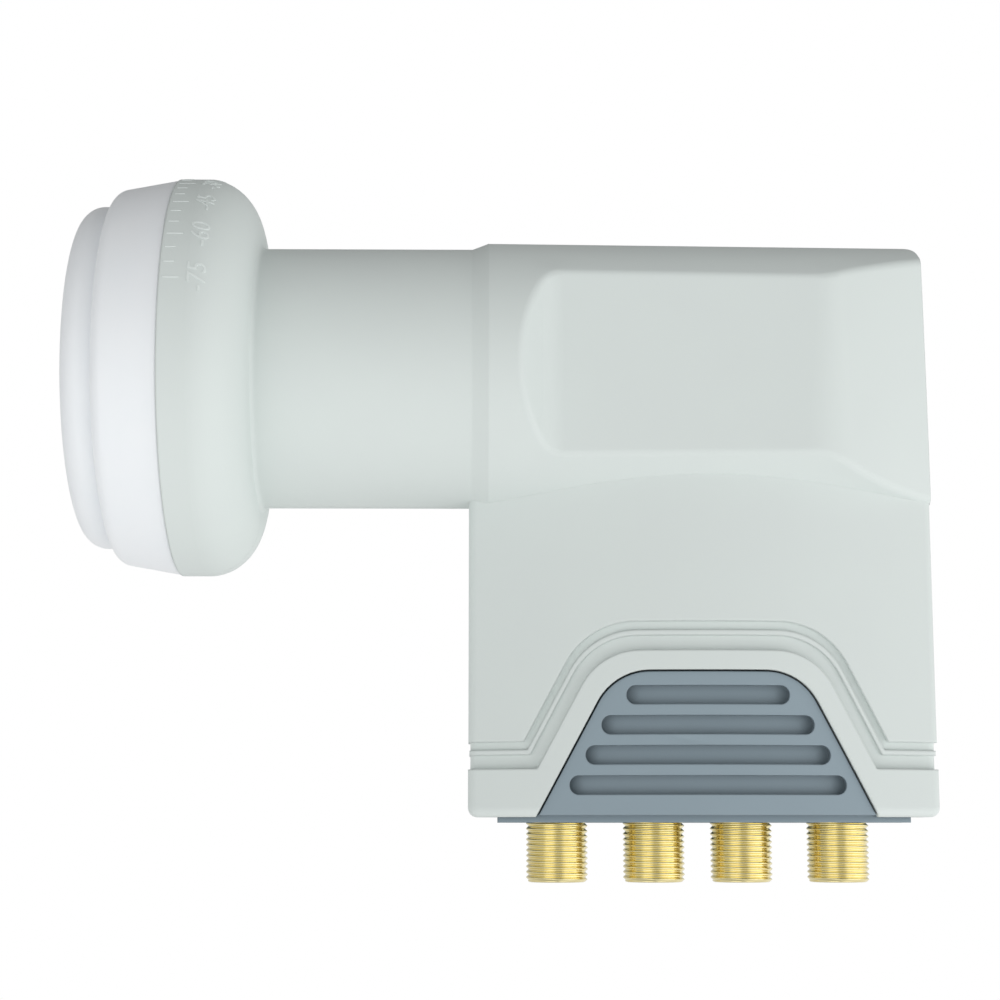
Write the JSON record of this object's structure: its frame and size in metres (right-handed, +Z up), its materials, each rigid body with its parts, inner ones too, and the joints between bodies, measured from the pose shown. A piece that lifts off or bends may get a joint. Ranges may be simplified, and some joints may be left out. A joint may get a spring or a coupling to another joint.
{
  "type": "satellite lnb",
  "caption": "Satellite low-noise block: capped feed horn on a round clamping neck, flat grey casing, threaded gold outlets below and a pull-down weather shield over them.",
  "frame": {"origin": "middle of the clamping neck, on the feed axis", "axes": "+X along the feed axis away from the horn's mouth, +Z up, the outlets point to -Z"},
  "size_m": [0.1289, 0.061, 0.107],
  "materials": {
    "casing_plastic": "finely textured light grey moulding",
    "cap_plastic": "smooth translucent white moulding",
    "shield_plastic": "finely textured blue-grey moulding",
    "gold_plating": "bright gold plating",
    "cast_metal": "bare die casting",
    "lid_metal": "satin",
    "board_laminate": "solder-masked laminate",
    "chip_plastic": "moulded package",
    "seal_rubber": "soft rubber",
    "screw_steel": "plated",
    "insulator_plastic": "white insulator"
  },
  "bodies": {
    "casing": {"casing_front": "casing_plastic", "casing_rear": "casing_plastic", "horn_cap": "cap_plastic", "cap_seal": "seal_rubber", "core_casting": "cast_metal", "circuit_board": "board_laminate", "board_chips": "chip_plastic", "screening_lid": "lid_metal", "lid_gasket": "seal_rubber", "lid_screws": "screw_steel", "straight_probe": "gold_plating", "bent_probe": "gold_plating", "probe_bushes": "insulator_plastic", "isolation_rod": "screw_steel", "outlet_seals": "seal_rubber", "outlet_shell_1": "gold_plating", "outlet_insulator_1": "insulator_plastic", "outlet_contact_1": "gold_plating", "outlet_shell_2": "gold_plating", "outlet_insulator_2": "insulator_plastic", "outlet_contact_2": "gold_plating", "outlet_shell_3": "gold_plating", "outlet_insulator_3": "insulator_plastic", "outlet_contact_3": "gold_plating", "outlet_shell_4": "gold_plating", "outlet_insulator_4": "insulator_plastic", "outlet_contact_4": "gold_plating"},
    "shield": {"weather_shield": "shield_plastic"}
  },
  "joints": [
    {"name": "shield_slide", "type": "slide", "parent": "casing", "child": "shield", "axis": [0, 0, -1], "range_m": [0, 0.022]}
  ]
}
